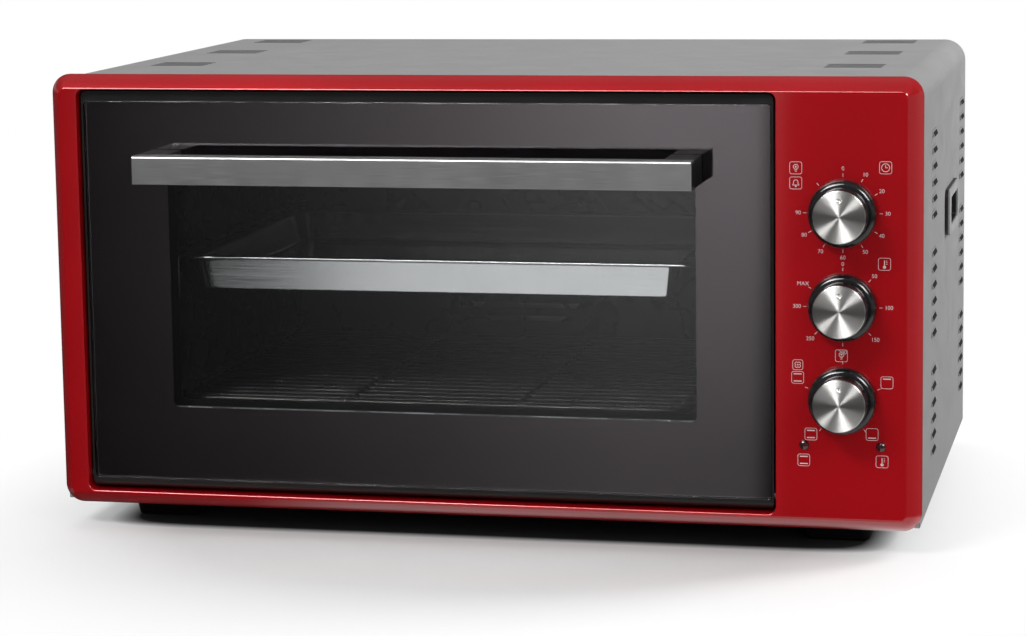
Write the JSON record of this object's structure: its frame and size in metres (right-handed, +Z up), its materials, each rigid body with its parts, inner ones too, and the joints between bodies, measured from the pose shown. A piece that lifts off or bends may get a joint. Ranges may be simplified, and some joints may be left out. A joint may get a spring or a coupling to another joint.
{
  "type": "countertop electric oven",
  "caption": "Countertop electric oven with a drop-down glass door and bar handle, control dials, indicator lamps, sliding tray and rack, louvred casing, side grips and rubber feet.",
  "frame": {"origin": "on the surface that the feet stand on, under the middle of the overall box", "axes": "+X to the user's right, +Y from the door to the back, +Z up"},
  "size_m": [0.579, 0.425, 0.305],
  "materials": {
    "beige_switch": "moulded",
    "black_frame": "satin black",
    "black_plastic": "moulded, satin",
    "black_rubber": "matte",
    "brushed_handle": "brushed, satin",
    "cavity_steel": "aluminised, satin",
    "door_glass": "smoked",
    "element_steel": "heat darkened",
    "fan_aluminium": "satin",
    "galvanised_sheet": "galvanised, dull",
    "grey_casing": "satin grey",
    "grip_plastic": "moulded, satin grey",
    "indicator_red": "dark red",
    "inner_glass": "clear",
    "knob_black": "gloss",
    "lamp_glass": "clear",
    "motor_steel": "dull",
    "pin_steel": "machined",
    "rack_chrome": "plated wire",
    "red_lacquer": "gloss metallic red lacquer",
    "silicone_seal": "matte",
    "spun_steel": "spun in circles",
    "tray_metal": "bright pressed metal",
    "white_ceramic": "matte white",
    "zinc_screws": "zinc plated"
  },
  "bodies": {
    "housing": {"back_panel": "galvanised_sheet", "base_pan": "galvanised_sheet", "casing_screws": "zinc_screws", "cavity_liner": "cavity_steel", "cavity_stays": "galvanised_sheet", "control_bracket": "galvanised_sheet", "control_nuts": "zinc_screws", "cord_gland": "black_rubber", "door_seal": "silicone_seal", "fan_cover": "cavity_steel", "fan_motor": "motor_steel", "foot_front_left": "black_rubber", "foot_front_right": "black_rubber", "foot_rear_left": "black_rubber", "foot_rear_right": "black_rubber", "foot_screws": "zinc_screws", "front_bezel": "red_lacquer", "heat_shield": "galvanised_sheet", "heating_element_lower": "element_steel", "heating_element_upper": "element_steel", "hinge_block_left": "pin_steel", "hinge_block_right": "pin_steel", "hinge_pin_left": "pin_steel", "hinge_pin_right": "pin_steel", "indicator_bodies": "lamp_glass", "indicator_lens_left": "indicator_red", "indicator_lens_right": "indicator_red", "outer_casing": "grey_casing", "oven_lamp_holder": "white_ceramic", "oven_lamp_lens": "lamp_glass", "rack_guide_left": "cavity_steel", "rack_guide_right": "cavity_steel", "selector_switch": "beige_switch", "side_grip_left": "grip_plastic", "side_grip_right": "grip_plastic", "terminal_block": "white_ceramic", "thermostat_body": "motor_steel", "thermostat_probe": "element_steel", "timer_movement": "motor_steel"},
    "door": {"door_frame": "black_frame", "door_glass_outer": "door_glass", "door_glass_inner": "inner_glass", "glass_retainers": "galvanised_sheet", "handle_bar": "brushed_handle", "handle_core": "black_plastic", "handle_post_left": "black_plastic", "handle_post_right": "black_plastic", "handle_screws": "zinc_screws"},
    "timer_dial": {"timer_knob": "knob_black", "timer_knob_cap": "spun_steel", "timer_shaft": "pin_steel"},
    "thermostat_dial": {"thermostat_knob": "knob_black", "thermostat_knob_cap": "spun_steel", "thermostat_shaft": "pin_steel"},
    "selector_dial": {"selector_knob": "knob_black", "selector_knob_cap": "spun_steel", "selector_shaft": "pin_steel"},
    "fan": {"fan_wheel": "fan_aluminium"},
    "tray": {"baking_tray": "tray_metal"},
    "rack": {"wire_rack": "rack_chrome"}
  },
  "joints": [
    {"name": "door_hinge", "type": "hinge", "parent": "housing", "child": "door", "pos_m": [-0.03935, -0.1635, 0.0365], "axis": [1, 0, 0], "range_deg": [0, 85]},
    {"name": "timer_turn", "type": "hinge", "parent": "housing", "child": "timer_dial", "pos_m": [0.2385, -0.1755, 0.2205], "axis": [0, 1, 0], "range_deg": [-40, 270]},
    {"name": "thermostat_turn", "type": "hinge", "parent": "housing", "child": "thermostat_dial", "pos_m": [0.2385, -0.1755, 0.16125], "axis": [0, 1, 0], "range_deg": [0, 300]},
    {"name": "selector_turn", "type": "hinge", "parent": "housing", "child": "selector_dial", "pos_m": [0.2385, -0.1755, 0.10201], "axis": [0, 1, 0], "range_deg": [0, 288]},
    {"name": "fan_spin", "type": "hinge", "parent": "housing", "child": "fan", "pos_m": [-0.03935, 0.1645, 0.138], "axis": [0, 1, 0], "continuous": true},
    {"name": "tray_slide", "type": "slide", "parent": "housing", "child": "tray", "axis": [0, -1, 0], "range_m": [0, 0.208]},
    {"name": "rack_slide", "type": "slide", "parent": "housing", "child": "rack", "axis": [0, -1, 0], "range_m": [0, 0.09]}
  ],
  "couplings": [
    {"joint": "tray_slide", "follows": "door_hinge", "m_per_rad": 0.14},
    {"joint": "rack_slide", "follows": "door_hinge", "m_per_rad": 0.06}
  ]
}
